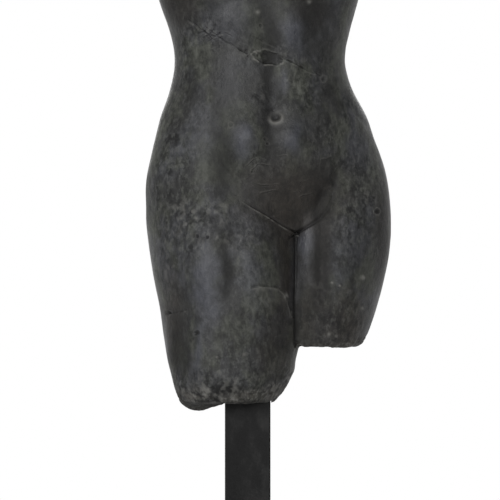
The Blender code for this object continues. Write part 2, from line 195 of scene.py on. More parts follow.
print("sharp lines", len(SHARP_LINES + HATCHES + SCRATCHES))


# %% Distance from a line, and which side of it
def from_line(u, v, line):
    """Distance to a line, side of it (its left hand is below zero) and share along it."""
    ends = np.array(line, float)
    lengths = np.hypot(*(ends[1:] - ends[:-1]).T)
    starts = np.concatenate([[0], np.cumsum(lengths)])
    nearest = np.full(u.shape, 1e9)
    side = np.zeros(u.shape)
    share = np.zeros(u.shape)
    for start, end, length, before in zip(ends[:-1], ends[1:], lengths, starts):
        way = (end - start) / length
        along = np.clip((u - start[0]) * way[0] + (v - start[1]) * way[1], 0, length)
        du = u - start[0] - along * way[0]
        dv = v - start[1] - along * way[1]
        distance = np.hypot(du, dv)
        closer = distance < nearest
        nearest = np.where(closer, distance, nearest)
        side = np.where(closer, way[0] * dv - way[1] * du, side)
        share = np.where(closer, (before + along) / starts[-1], share)
    return nearest, side, share


def eased(value, low, high):
    """0 below low, 1 above high, and a smooth rise between them."""
    share = np.clip((value - low) / (high - low), 0, 1)
    return share * share * (3 - 2 * share)


print("halfway up, eased gives", float(eased(0.5, 0, 1)))

# %% Spots of carving and damage
# Round marks: u, v, radius across, radius down, in picture points
NAVEL = (276.0, 118.0, 8.0, 7.0)
CHIP = (266.0, 56.5, 18.0, 6.6)
CHIP_TILT = math.radians(11)
# Pits, or knobs where the depth is below zero: u, v, radius in points, depth and rim in mm
PITS = (
    (323, 79, 2.4, 0.45, 0.14), (231, 125.5, 2.1, 0.25, 0.12), (197, 333, 2.6, 1.3, 0.1),
    (169, 313.3, 2.4, 1.3, 0.0), (197.5, 236, 1.8, 0.9, 0.12), (207, 237.5, 1.6, 0.9, 0.1),
    (376.5, 211.5, 2.4, 1.2, 0.25), (309, 1, 2.6, -0.4, 0.0), (244, 354.5, 2.2, -0.3, 0.0),
    (229, 353.5, 2.6, -0.45, 0.0), (258, 12, 2.4, -0.4, 0.0), (284, 296, 3.0, -0.5, 0.0),
    (261, 26, 1.6, 0.3, 0.1), (287.5, 80, 1.8, -0.25, 0.0), (362, 277, 2.6, -0.6, 0.0),
    (332, 283, 1.7, -0.45, 0.0), (340, 286, 1.6, -0.45, 0.0), (362, 308, 2.2, -0.45, 0.0),
    (208, 390, 3.2, -0.5, 0.0), (265, 139, 1.6, 0.3, 0.1), (268, 144, 1.4, 0.3, 0.1),
    (246.5, 50.5, 1.5, 0.8, 0.0), (248.5, 56, 1.0, 0.4, 0.0), (252, 54, 1.7, -0.3, 0.0),
    (256, 51.5, 1.3, -0.3, 0.0), (329, 334, 2.2, -0.3, 0.0), (336, 336, 2.0, -0.3, 0.0),
    (288, 378, 3.0, -0.4, 0.0), (184, 210, 2.4, -0.2, 0.0), (193, 207, 2.0, -0.2, 0.0),
    (197, 219, 2.2, -0.35, 0.0), (205, 213, 1.3, 0.5, 0.0), (190, 213, 1.5, 0.5, 0.0),
    (366, 200, 1.6, -0.2, 0.0), (371, 205, 1.5, 0.6, 0.0), (373, 198, 1.3, 0.5, 0.0),
    (176, 268, 1.4, 0.4, 0.0), (252, 172, 1.4, 0.4, 0.1), (217, 357, 1.8, -0.3, 0.0),
    (236, 361, 1.6, 0.5, 0.0), (193, 339, 1.5, 0.6, 0.0),
)
# Shallow forms: u, v, radius across, radius down, rise in mm
FORMS = (
    (249, 140, 9, 17, 1.5), (288, 140, 9, 16, 1.1), (227, 16, 16, 20, 0.6), (292, 34, 14, 18, 0.9),
    (200, 150, 15, 13, 0.4), (230, 84, 12, 24, 0.4), (286, 84, 2.5, 11, 0.3),
    (268, 138, 7, 20, -0.9), (230, 160, 8, 24, -0.5), (321, 262, 6, 44, -1.0),
    (306, 244, 6, 22, 0.7), (341, 276, 9, 12, 0.4), (206, 285, 9, 40, 0.6), (250, 268, 10, 26, 0.7),
    (229, 268, 5, 28, -0.9), (263, 262, 12, 30, 0.6), (180, 350, 7, 26, -1.4),
    (187, 364, 6, 11, -0.9), (199, 354, 4, 22, 0.8), (222, 190, 6, 9, -0.4),
    (341, 103, 7, 13, -0.9), (352, 102, 6, 12, 0.3), (268, 60, 6, 50, -0.4),
    (230, 391, 14, 5, -1.0), (182, 388, 9, 8, 0.8), (255, 386, 12, 6, 0.6), (276, 372, 8, 10, -0.7),
    (216, 168, 7, 24, -0.6), (190, 214, 7, 6, 0.5), (203, 222, 5, 5, 0.4), (186, 395, 5, 5, 0.9),
    (206, 391, 4, 5, 0.7), (284, 296, 5, 6, 0.9), (300, 330, 5, 20, -0.5), (169, 396, 5, 7, -0.8),
    (196, 402, 6, 5, 0.8), (222, 378, 9, 6, 0.6), (262, 394, 6, 5, -0.6),
)
print("pits and knobs", len(PITS), "forms", len(FORMS))

# %% Patches of the surface
# Each patch: u, v, radius across, radius down, share at its middle
MOTTLED = (
    (190, 226, 24, 28, 1.0), (236, 232, 18, 18, 0.6), (172, 182, 24, 44, 0.8),
    (358, 190, 26, 40, 0.9), (342, 240, 16, 32, 0.8), (210, 36, 13, 11, 0.8),
    (188, 60, 16, 45, 0.7), (262, 95, 12, 10, 0.9), (302, 92, 26, 20, 0.7), (258, 162, 26, 12, 0.6),
    (326, 140, 22, 20, 0.6), (250, 345, 46, 44, 0.6), (230, 388, 52, 16, 1.0),
    (335, 318, 32, 26, 0.8), (246, 262, 18, 34, 0.5), (268, 58, 24, 10, 0.8),
    (205, 210, 20, 20, 0.7), (168, 110, 14, 40, 0.7), (352, 112, 10, 30, 0.7),
    (158, 250, 10, 60, 0.7),
)
CRUSTY = (
    (190, 214, 13, 11, 1.0), (176, 224, 7, 16, 0.5), (220, 211, 15, 13, 0.75),
    (228, 238, 13, 7, 0.8), (203, 244, 6, 8, 0.6), (249, 240, 8, 8, 0.4), (368, 201, 8, 10, 0.9),
    (262, 171, 20, 6, 0.3), (176, 391, 16, 13, 1.0), (207, 390, 20, 11, 1.0),
    (240, 386, 22, 9, 0.9), (270, 388, 16, 9, 1.0), (286, 375, 6, 14, 0.7), (210, 33, 12, 8, 0.6),
    (249, 54, 8, 6, 0.5), (262, 95, 9, 10, 0.4), (352, 300, 12, 16, 0.4), (320, 285, 10, 22, 0.3),
    (172, 260, 8, 22, 0.6), (293, 62, 14, 6, 0.5),
)
# Patches of painted highlight: the colour is lightened to blue-grey where the lights fall on the chest,
# belly and thighs. The same patches make the stone smoother and glossier.
HIGHLIGHT_AND_POLISH = (
    (228, 18, 20, 20, 0.4), (292, 34, 14, 18, 1.0), (242, 139, 9, 15, 1.0), (294, 141, 9, 14, 1.0),
    (198, 150, 14, 13, 0.3), (206, 281, 11, 42, 1.0), (250, 272, 8, 26, 0.6),
    (306, 243, 6, 20, 1.0), (230, 84, 14, 26, 0.25), (287, 83, 2.5, 11, 0.7), (341, 276, 7, 9, 0.5),
    (199, 352, 4, 24, 0.8), (361, 155, 12, 16, 0.35),
)
# Patches of painted shade: the colour is darkened where the figure lies in shadow, under the breasts, in
# the furrows and along the flanks. The same patches make the stone rougher.
SHADE_AND_DULL = (
    (268, 60, 8, 62, 0.9), (270, 140, 7, 18, 0.7), (178, 6, 17, 15, 0.6), (312, 8, 18, 17, 0.85),
    (222, 190, 6, 9, 0.5), (229, 268, 6, 30, 0.95), (285, 262, 8, 30, 0.45),
    (320, 266, 9, 48, 0.95), (230, 158, 9, 26, 0.5), (331, 91, 6, 9, 0.7), (343, 106, 7, 11, 0.85),
    (284, 94, 4, 13, 0.5), (195, 76, 5, 24, 0.7), (176, 344, 7, 36, 0.85), (185, 357, 6, 18, 0.85),
    (299, 296, 3.5, 55, 0.85), (345, 322, 20, 24, 0.15), (290, 196, 44, 34, 0.4),
    (318, 178, 12, 12, 0.4), (310, 28, 6, 24, 0.7), (228, 224, 12, 12, 0.5), (226, 390, 18, 6, 1.0),
    (190, 388, 10, 2, 0.8), (205, 400, 6, 4, 0.7), (327, 262, 7, 40, 0.45), (262, 116, 5, 9, 0.7),
    (203, 238, 9, 5, 0.7), (336, 180, 4, 20, 0.6), (250, 196, 12, 14, 0.3), (317, 207, 9, 14, 0.8),
    (267, 82, 6, 16, 0.75), (342, 282, 24, 36, 0.35), (245, 335, 30, 24, 0.35),
    (219, 160, 9, 38, 0.7), (385, 240, 8, 60, 0.75), (226, 96, 14, 22, 0.3), (268, 150, 8, 14, 0.6),
    (308, 312, 9, 32, 0.65), (282, 335, 9, 26, 0.5), (262, 172, 24, 7, 0.4),
    (276, 338, 16, 40, 0.4),
)
BROWNED = (
    (290, 198, 42, 34, 1.0), (285, 262, 8, 40, 0.9), (322, 268, 8, 52, 0.8),
    (345, 325, 22, 28, 0.7), (172, 330, 8, 50, 0.6), (178, 6, 17, 15, 0.6), (312, 8, 18, 17, 0.5),
    (384, 240, 8, 60, 0.5), (308, 312, 9, 32, 0.8), (278, 340, 16, 40, 0.6),
)


def patch_share(u, v, patches):
    """From 0 to 1, how much each point lies in any of the patches."""
    outside = np.ones(u.shape)
    for patch_u, patch_v, across, down, strength in patches:
        spread = ((u - patch_u) / across) ** 2 + ((v - patch_v) / down) ** 2
        outside *= 1 - strength * np.exp(-(spread**1.5) * 0.7)
    return 1 - outside


print("patches", len(MOTTLED), len(CRUSTY), len(HIGHLIGHT_AND_POLISH), len(SHADE_AND_DULL), len(BROWNED))

# %% [markdown]
# Refine only where it pays
#
# Fine faces everywhere would make a heavy model. So every edge of the skin that lies in a rough patch
# or near a mark is halved, and next to the marks halved again. This is what a sculptor's program calls
# dynamic detail: the clay is fine under the tool and coarse elsewhere.

# %% Halve the edges near the marks
LEFTMOST_U, TOPMOST_V = 140, -5  # no mark lies further left or higher
LEAST_MOTTLED, LEAST_CRUSTY = 0.45, 0.25
HALVED_ONCE = 4  # picture points from a mark
HALVED_TWICE = 2.6


def sharp_marks_at(u, v):
    """How close each point is to the nearest sharp mark, in picture points."""
    near = np.full(u.shape, 1e9)
    for line in SHARP_LINES + HATCHES + SCRATCHES:
        near = np.minimum(near, from_line(u, v, line)[0])
    for pit_u, pit_v, radius, _depth, _rim in PITS:
        near = np.minimum(near, np.hypot(u - pit_u, v - pit_v) - radius)
    for centre_u, centre_v, across, down in (NAVEL, CHIP):
        spread = np.hypot((u - centre_u) / across, (v - centre_v) / down)
        near = np.minimum(near, (spread - 1) * down)
    return near


def halve_edges(mesh, wanted, title):
    """Halve the edges of the mesh's front whose two ends are both wanted."""
    places, normals = corners_of(mesh)
    u, v = seen_at(places)
    close = (normals[:, 1] < -0.1) & (u > LEFTMOST_U) & (v > TOPMOST_V)
    close[close] = wanted(u[close], v[close])
    ends = np.zeros(len(mesh.edges) * 2, np.int32)
    mesh.edges.foreach_get("vertices", ends)
    chosen = np.flatnonzero(close[ends.reshape(-1, 2)].all(axis=1))
    work = bmesh.new()
    work.from_mesh(mesh)
    work.edges.ensure_lookup_table()
    edges = [work.edges[int(index)] for index in chosen]
    bmesh.ops.subdivide_edges(work, edges=edges, cuts=1, use_grid_fill=True)
    work.to_mesh(mesh)
    work.free()
    print("halved", len(chosen), "edges near", title, "and now", len(mesh.polygons), "faces")


def near_rough(u, v):
    """True where the surface is mottled or crusty, or a mark is close."""
    mottled_enough = patch_share(u, v, MOTTLED) > LEAST_MOTTLED
    crusty_enough = patch_share(u, v, CRUSTY) > LEAST_CRUSTY
    return mottled_enough | crusty_enough | (sharp_marks_at(u, v) < HALVED_ONCE)


def near_marks(u, v):
    """True next to a mark."""
    return sharp_marks_at(u, v) < HALVED_TWICE


halve_edges(skin, near_rough, "rough places")
halve_edges(skin, near_marks, "marks")

# %% [markdown]
# Places where the form wants a hand
#
# The CAD form is drawn in rings, and rings can't follow every small turn of the stone. Above the point
# where the groins meet they leave a step, where the belly is one smooth mound. So the hollow beside the
# step is filled up to a slope from one side to the other. Three places of the lower outline are pulled
# over by a soft weight, as one pushes clay with a thumb.

# %% Fill the hollow
MM = 0.001
MOUND_LEFT_U, MOUND_RIGHT_U = 287, 304  # the slope lies between these picture points
MOUND_TOP_V, MOUND_FOOT_V = 200, 236
LEFT_DEPTH, RIGHT_DEPTH = 15.2, 8.6  # mm in front of the post's axis, at the foot of the slope
LEFT_SWELL, RIGHT_SWELL = 0.0026, 0.0075  # how fast the sides come forward above these heights
LEFT_SWELL_V, RIGHT_SWELL_V = 230, 226

places = corners_of(skin)[0]
u, v = seen_at(places)
depth = -places[:, 1] / MM
left_depth = LEFT_DEPTH + LEFT_SWELL * (LEFT_SWELL_V - v) ** 2
right_depth = RIGHT_DEPTH + RIGHT_SWELL * np.maximum(RIGHT_SWELL_V - v, 0) ** 2
across = np.clip((u - MOUND_LEFT_U) / (MOUND_RIGHT_U - MOUND_LEFT_U), 0, 1)
slope_depth = left_depth + (right_depth - left_depth) * across
inside = (depth > 0) & (across > 0) & (across < 1) & (v > MOUND_TOP_V) & (v < MOUND_FOOT_V)
above_left = eased(-from_line(u, v, LEFT_GROIN)[1], 0, 3)
above_right = eased(-from_line(u, v, RIGHT_GROIN)[1], 0, 5)
easing_in = eased(v, MOUND_TOP_V, MOUND_TOP_V + 6)
filled = np.maximum(slope_depth - depth, 0) * inside * above_left * above_right * easing_in
places[:, 1] -= filled * MM
print("hollow filled by up to", round(float(filled.max()), 1), "mm")

# %% Push the outline
ACROSS, UP = 0, 2
# Each push: the way, how far in mm, then u, v, reach across and reach down in picture points
INNER_CORNER = (UP, 1.7, 298, 348, 5, 4.5)
OUTER_CORNER = (ACROSS, -0.9, 366, 340, 3, 4)
for way, push, push_u, push_v, reach, reach_down in (INNER_CORNER, OUTER_CORNER):
    weight = np.exp(-(((u - push_u) / reach) ** 2 + ((v - push_v) / reach_down) ** 2))
    places[:, way] += push * MM * weight
SIDE_PUSH, SIDE_V, SIDE_REACH = 1.2, 370, 7
side_weight = np.exp(-(((v - SIDE_V) / SIDE_REACH) ** 2)) * eased(u, 278, 290)
places[:, ACROSS] += SIDE_PUSH * MM * side_weight
skin.vertices.foreach_set("co", places.astype(np.float32).ravel())
skin.update()
print("the outline's side is pushed out by", round(float(side_weight.max()) * SIDE_PUSH, 1), "mm")

# %% [markdown]
# Noise for stone
#
# Nothing about old stone is regular, so most of its surface comes from noise: random values on an
# invisible lattice, blended smoothly between the lattice points. Adding a coarse and a fine layer
# gives lumps with grain on them. The values come from whole-number arithmetic on the lattice places,
# so the stone is the same every time the script runs.

# %% Smooth lattice noise
def noise(points, size, seed):
    """Smooth random values from -1 to 1. size is the width of a lump, in metres."""
    scaled = points / size + seed * 31.7
    cell = np.floor(scaled).astype(np.int64)
    inner = scaled - cell
    blend = inner * inner * (3 - 2 * inner)
    total = np.zeros(len(points))
    for corner in range(8):
        step = np.array([corner & 1, corner >> 1 & 1, corner >> 2 & 1])
        at = cell + step
        shuffled = at[:, 0] * 73856093 ^ at[:, 1] * 19349663 ^ at[:, 2] * 83492791
        shuffled = (shuffled ^ (shuffled >> 13)) * 1274126177 & 0xFFFFFFFF
        value = (shuffled ^ (shuffled >> 16)) % 65536 / 32767.5 - 1
        weight = np.where(step, blend, 1 - blend).prod(axis=1)
        total += value * weight
    return total


def layered(points, size, seed, layers=3):
    """Several layers of noise, each half as wide and half as high as the one before."""
    total = np.zeros(len(points))
    for layer in range(layers):
        total += noise(points, size / 2**layer, seed + layer * 5) / 2**layer
    return total


print("noise at the post's foot", round(float(noise(np.zeros((1, 3)), 0.01, 1)[0]), 3))

# %% Measure the skin once
places, normals = corners_of(skin)
u, v = seen_at(places)
facing = eased(-normals[:, 1], 0.05, 0.4)  # 1 where the skin faces the front
# Noise makes the borders of the patches swim
swim_u = u + layered(places, 0.014, 5, 4) * 5
swim_v = v + layered(places, 0.014, 9, 4) * 6
unseen = 1 - facing * 0.75  # 1 on the back, and a quarter where the listed patches lie
mottled = patch_share(swim_u, swim_v, MOTTLED) * facing
mottled = np.maximum(mottled, eased(layered(places, 0.034, 13), 0.1, 0.7) * 0.85 * unseen)
# Painted highlight, and smoother stone, from the listed patches
highlight_and_polish = patch_share(swim_u, swim_v, HIGHLIGHT_AND_POLISH) * facing
# Painted shade from the listed patches, and random darker, rougher places that are strongest on the back
shade_and_dull = patch_share(swim_u, swim_v, SHADE_AND_DULL) * facing
shade_and_dull = np.maximum(shade_and_dull, eased(layered(places, 0.040, 23), 0.2, 0.8) * 0.6 * unseen)
patchy = eased(layered(places, 0.0045, 91, 2), -0.55, 0.25)  # where a line is well kept
print("vertices", len(places))
print("mottled share", round(float(mottled.mean()), 2), "dull share", round(float(shade_and_dull.mean()), 2))

# %% [markdown]
# The breaks
#
# Broken stone is rough and paler than worn stone, because nobody has handled it smooth. Here it is the
# lower ends of both thighs, the neck and the arms. The broken share of the skin is 1 on a break and
# falls to 0 over a few millimetres of chipped rim; it drives both the lumps and, later, the colour.

# %% Mark the broken faces
LONG_RIM_Z = 0.1515  # the longer thigh is chipped up to about here
LONG_END_Z = 0.17  # and its underside lies below this
SHORT_RIM_Z = 0.186
NECK_Z = 0.5285
ARM_RIM_X = (-0.0665, 0.0815)
ARM_FOOT_Z = 0.44
RAGGED = 0.0038  # metres by which the rims wander

ragged = layered(places, 0.016, 3, 4) * RAGGED
x, y, z = places.T
below_long = eased(LONG_RIM_Z - z + ragged, -0.003, 0.003)
below_long = np.maximum(below_long, eased(-normals[:, 2], 0.5, 0.8) * (z < LONG_END_Z))
below_short = eased(SHORT_RIM_Z - z + ragged * 0.5, -0.001, 0.001) * eased(-normals[:, 2], 0.25, 0.6)
above_neck = eased(z - NECK_Z + ragged, -0.001, 0.003)
past_arms = np.maximum(ARM_RIM_X[0] - x, x - ARM_RIM_X[1])
sideways = eased(np.abs(normals[:, 0]), 0.75, 0.9)
on_arms = eased(past_arms + ragged * 0.5, -0.001, 0.002) * (z > ARM_FOOT_Z) * sideways
broken = np.clip(np.maximum.reduce([below_long, below_short, above_neck, on_arms]), 0, 1)
print("broken share of the vertices", round(float(broken.mean()), 3))

# %% Lumps and chips on the breaks
LUMP_HEIGHT, CHIP_DEPTH, GRIT_HEIGHT = 1.4, 0.7, 0.25  # mm

lumps = np.abs(layered(places, 0.011, 11)) - 0.35
chips = eased(layered(places, 0.006, 19, 2), 0.15, 0.5)
grit = layered(places, 0.0026, 17)
calm = 1 - 0.5 * below_short  # the shorter thigh's break is half as rough
cut = broken * calm * (lumps * LUMP_HEIGHT - chips * CHIP_DEPTH + grit * GRIT_HEIGHT) * MM
print("breaks from", round(float(cut.min() / MM), 2), "to", round(float(cut.max() / MM), 2), "mm")

# %% [markdown]
# Carved lines
#
# The groin lines are a small step: the belly ends in a narrow shadow, and the thigh starts below it with
# a thin lip that catches the light. The crease between the thighs is a narrow cut. Each is made of one
# simple bump across its line, moved to one side or turned upside down where that is needed.

# %% A bump across a line
def groove(distance, half_width):
    """1 on the line, falling away over the half width."""
    return np.exp(-((distance / half_width) ** 2))


print("one half width off its line, a groove has", round(float(groove(1.0, 1.0)), 2), "of its depth")

# %% Groins, crease and hip
LIP_HEIGHT, SHADOW_DEPTH = 0.25, 0.75  # mm
CREASE_DEPTH, HIP_LINE_DEPTH = 0.9, 0.5

near, side, share = from_line(u, v, LEFT_GROIN)
crisp = eased(share, 0.42, 0.72)
soft_groin = -0.45 * groove(near, 5.0) * eased(share, 0, 0.3) * (1 - crisp * 0.7)
lip = crisp * groove(side - 0.3, 0.7) * (near < 4) * (0.35 + 0.65 * patchy)
shadow = crisp * SHADOW_DEPTH * groove(side + 1.5, 1.1) * (near < 5)
left_groin = soft_groin + LIP_HEIGHT * lip - shadow
near, side, share = from_line(u, v, RIGHT_GROIN)
running_out = 1 - eased(share, 0.8, 1.0)
widening = 1.1 + 2.6 * share
right_groin = -(1.0 - 0.5 * share) * groove(side + 0.5, widening) * (near < 9) * running_out
near = from_line(u + noise(places, 0.012, 45), v, CREASE)[0]
crease = -CREASE_DEPTH * groove(near, 1.4) * eased(v, 231, 240)
near, side, share = from_line(u, v, HIP_LINE)
hip_line = -HIP_LINE_DEPTH * groove(side - 1.5, 2.4) * (near < 14) * eased(share, 0, 0.25)
hip_line *= 1 - eased(share, 0.7, 1.0)
carved = left_groin + right_groin + crease
cut += (carved + hip_line) * facing * MM
print("deepest carved line", round(float(carved.min()), 2), "mm")

# %% The navel
RING_HEIGHT, HOLLOW_DEPTH, FOLD_DEPTH = 0.85, 0.6, 0.35  # mm
NAVEL_FOLD = ((255, 109), (268, 110), (281, 109))

waver_u = u + noise(places, 0.004, 41) * 0.9
waver_v = v + noise(places, 0.004, 47) * 0.9
navel_u, navel_v, across, down = NAVEL
du, dv = (waver_u - navel_u) / across, (waver_v - navel_v) / down
spread = np.hypot(du, dv)
ring = groove(spread - 0.78, 0.30) * (0.20 + 0.80 * eased(dv + 0.4 * du, -0.8, 0.4))
fold = groove(from_line(waver_u, waver_v, NAVEL_FOLD)[0], 1.6)
fold_depth = FOLD_DEPTH * fold * eased(layered(places, 0.006, 43), -0.6, 0.3)
navel = RING_HEIGHT * ring - HOLLOW_DEPTH * groove(spread, 0.42) - fold_depth
cut += navel * facing * MM
print("navel from", round(float(navel.min()), 2), "to", round(float(navel.max()), 2), "mm")

# %% [markdown]
# The crack and the chip
#
# A crack crosses the chest from the viewer's left, opens into a long oval chip where a flake has come
# off, and runs on as a scratch. A flake leaves a dished floor with a raised, lighter lower rim. The crack
# wavers, so its line is shifted by noise before its distance is measured.

# %% Cut the crack and the scratches
# Each cut: its line, its depth in mm and half its width in picture points
CUTS = (
    (CRACK_LEFT, 0.52, 0.70), (CRACK_RIGHT, 0.62, 0.85), (UPPER_SCRATCH, 0.3, 0.6),
    (SIDE_NICK, 0.5, 0.9),
)

damage = np.zeros(len(places))
for line, depth, half_width in CUTS:
    near, side, _share = from_line(waver_u, waver_v, line)
    damage -= depth * groove(near, half_width) * (0.10 + 0.90 * patchy)
    damage += depth * 0.30 * groove(side - 1.3, 0.7) * (near < 3) * (1 - patchy)
for lines, depth, beside in ((HATCHES, 0.45, 0.06), (SCRATCHES, 0.25, 0.10)):
    for line in lines:
        near, side, _share = from_line(waver_u, waver_v, line)
        damage -= depth * groove(near, 0.55) * (0.2 + 0.8 * patchy)
        damage += beside * groove(side + 1.3, 0.7) * (near < 2.5) * patchy
print("deepest cut", round(float(damage.min()), 2), "mm")

# %% Flake the chip off
CHIP_EDGE, CHIP_DISH, CHIP_ROUGH = 0.10, 0.70, 0.45  # mm
RIM_LEAST, RIM_RISE = 0.03, 0.36

chip_u, chip_v, across, down = CHIP
du, dv = waver_u - chip_u, waver_v - chip_v
turned_u = du * math.cos(CHIP_TILT) + dv * math.sin(CHIP_TILT)
turned_v = dv * math.cos(CHIP_TILT) - du * math.sin(CHIP_TILT)
chip_spread = np.hypot(turned_u / across, turned_v / down)
chip_spread += 0.20 * layered(places, 0.005, 57, 3)
inside_chip = 1 - eased(chip_spread, 0.75, 1.0)
chip_floor = CHIP_EDGE + CHIP_DISH * eased(turned_u, -10, -1)
chip_floor += CHIP_ROUGH * layered(places, 0.0028, 51, 2)
damage -= inside_chip * chip_floor
rim_height = RIM_LEAST + RIM_RISE * eased(layered(places, 0.0035, 55, 2), -0.1, 0.5)
damage += rim_height * groove(chip_spread - 1.0, 0.16) * (0.35 + 0.65 * eased(turned_v, -3, 3))
cut += damage * facing * MM
print("chipped share of the vertices", round(float(inside_chip.mean()), 4))

# %% Pits, knobs and shallow forms
RIDGE_HEIGHT, CRUMB_DEPTH = 0.26, 0.50  # mm

spots = np.zeros(len(places))
for pit_u, pit_v, radius, depth, rim in PITS:
    distance = np.hypot(waver_u - pit_u, waver_v - pit_v)
    spots -= depth * groove(distance, radius * 0.8)
    spots += rim * groove(distance - radius * 1.35, 0.8)
ridges = layered(places * np.array([1.0, 1.0, 0.75]), 0.0030, 101, 2)
crumbly = RIDGE_HEIGHT * eased(ridges, 0.15, 0.7) - CRUMB_DEPTH * eased(-ridges, 0.2, 0.7)
spots += crumbly * patch_share(swim_u, swim_v, CRUSTY)
forms = np.zeros(len(places))
for form_u, form_v, across, down, rise in FORMS:
    forms += rise * groove(np.hypot((u - form_u) / across, (v - form_v) / down), 1)
cut += (spots + forms) * facing * MM
print("forms from", round(float(forms.min()), 2), "to", round(float(forms.max()), 2), "mm")

# %% [markdown]
# The thigh's seam and streaks
#
# Across the longer thigh a thin skin of stone has flaked away above an uneven line, so the surface below
# it stands a little proud, with upright streaks as from dripping water.

# %% The seam and its streaks
PROUD, SEAM_SHADOW, STREAKS = 0.8, 0.6, 0.14  # mm
FLAKED_U, FLAKED_V = (236, 293), (284, 350)  # the flaked place lies between these picture points
FLAKED_MIDDLE_U, FLAKED_REACH = 272, 20

seam_u = u + layered(places, 0.005, 63, 2) * 1.6
seam_v = v + layered(places, 0.005, 67, 2) * 1.6
seam_near, seam_side, _share = from_line(seam_u, seam_v, THIGH_SEAM)
below_seam = (v > FLAKED_V[0]) & (v < FLAKED_V[1]) & (u > FLAKED_U[0]) & (u < FLAKED_U[1])
proud = eased(seam_side, -0.6, 1.2) * below_seam * groove(u - FLAKED_MIDDLE_U, FLAKED_REACH)
proud *= 1 - eased(v, 300, 345)
seam_shadow = groove(seam_side + 1.0, 1.2) * (seam_near < 3.5) * (0.4 + 0.6 * patchy)
step_cut = PROUD * proud - SEAM_SHADOW * seam_shadow
streak_places = places * np.array([1.0, 1.0, 0.12])
streak_zone = eased(v, 286, 300) * (1 - eased(v, 345, 372)) * eased(u, 205, 225)
step_cut += STREAKS * streak_zone * layered(streak_places, 0.0035, 61, 2)
cut += step_cut * facing * MM
print("seam from", round(float(step_cut.min()), 2), "to", round(float(step_cut.max()), 2), "mm")

# %% Worn skin all over
WRINKLES, LOW_CRUST, WORN, FINELY_WORN = 0.18, 0.75, 0.12, 0.045  # mm

upright = places * np.array([1.0, 1.0, 0.6])
wrinkled = layered(upright, 0.0042, 85, 3)
ridged = WRINKLES * wrinkled - WRINKLES * eased(wrinkled, 0.5, 0.9)
crust = mottled * (1 - highlight_and_polish * 0.8) * ridged
low_crust = eased(v, 362, 376) * (1 - broken) * facing
crust += low_crust * LOW_CRUST * (np.abs(layered(places, 0.006, 87)) - 0.3)
worn = layered(places, 0.020, 71, 2) * WORN + layered(upright, 0.006, 73, 2) * FINELY_WORN
cut += (worn + crust) * (1 - broken) * MM
print("crust from", round(float(crust.min()), 2), "to", round(float(crust.max()), 2), "mm")

# %% [markdown]
# Keep the fit
#
# The post sits in a square socket in the stone, and the visual torso must not grow past the CAD box.
# So the cuts fade out next to the socket, and every point is held inside the box, once after the cuts
# and once more after the mesh is thinned out.

# %% Move the skin
FULLER = 0.35  # rounding the cage draws the skin in by about this many mm
BREAK_FULLER = 0.3  # and this much more on the breaks
HELD_BACK = 0.004  # metres round the socket where the cuts are held back

cut += (FULLER + BREAK_FULLER * broken * calm) * MM
beside_socket = np.maximum(np.abs(x), np.abs(y)) - SOCKET_HALF
by_socket = (beside_socket < HELD_BACK) & (z < SOCKET_TOP + 0.002)
keep_still = np.where(by_socket, eased(beside_socket, 0.0002, 0.0015), 1)
moved = places + normals * (cut * keep_still)[:, None]
low, high = (np.array(corner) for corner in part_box("torso"))
moved = np.clip(moved, low, high)
skin.vertices.foreach_set("co", moved.astype(np.float32).ravel())
skin.update()
print("cut from", round(float(cut.min() / MM), 2), "to", round(float(cut.max() / MM), 2), "mm")


# %% Write the colour shares on the mesh
def write_share(mesh, name, values):
    """Store one value a vertex, for a material to read by name."""
    layer = mesh.attributes.new(name, "FLOAT", "POINT")
    layer.data.foreach_set("value", np.clip(values, 0, 1).astype(np.float32))


# Painted shade: the colour is darkened in the cut lines, pits and crevices of the lower break, and in the
# navel's fold and hollow, more where they are deeper
low_hollows = eased(v, 366, 384) * eased(-np.abs(layered(places, 0.0045, 93, 2)), -0.16, -0.02)
hollows = np.clip(-(carved + damage + spots + step_cut * 0.8) * 0.9 + low_hollows * 0.7, 0, 1)
hollow_shade = np.clip(hollows + 0.6 * fold + 0.2 * groove(spread, 0.35), 0, 1) * facing
crumbs = inside_chip * eased(-turned_u, -3, 3) * eased(layered(places, 0.002, 53, 2), -0.1, 0.5)
seam_lip = groove(seam_side - 1.0, 1.2) * (seam_near < 3)
# Lighter colour that follows height: paler stone on the cut rims, knobs, the seam's edge and the chip's
# crumbs, and a painted highlight on the groin's lip and on the navel's ring, brightest on its lower side,
# where they catch the light
raised = (damage + spots) * 2.4 + lip * 0.7 + seam_lip * 0.5 + ring + crumbs * 0.9
pale = np.clip(raised, 0, 1) * facing
browned = patch_share(swim_u, swim_v, BROWNED) * facing
for name, values in (
    ("broken", broken), ("hollow_shade", hollow_shade), ("pale", pale), ("brown", browned),
    ("mottled", mottled), ("highlight_and_polish", highlight_and_polish), ("shade_and_dull", shade_and_dull),
):
    write_share(skin, name, values)
print("shares written:", [layer.name for layer in skin.attributes if layer.data_type == "FLOAT"])

# %% Thin the mesh out where it is plain
TRIANGLE_LIMIT = 190000
torso = bpy.data.objects.new("torso_stone", skin)
bpy.context.scene.collection.objects.link(torso)
triangles = sum(len(face.vertices) - 2 for face in skin.polygons)
thinning = torso.modifiers.new("thinning", "DECIMATE")
thinning.ratio = TRIANGLE_LIMIT / triangles
thinning.use_collapse_triangulate = True
graph = bpy.context.evaluated_depsgraph_get()
torso.data = bpy.data.meshes.new_from_object(torso.evaluated_get(graph))
torso.modifiers.clear()
thin_places = corners_of(torso.data)[0]
torso.data.vertices.foreach_set("co", np.clip(thin_places, low, high).astype(np.float32).ravel())
torso.data.update()
torso.data.shade_smooth()
print("torso", triangles, "triangles thinned to", len(torso.data.polygons))

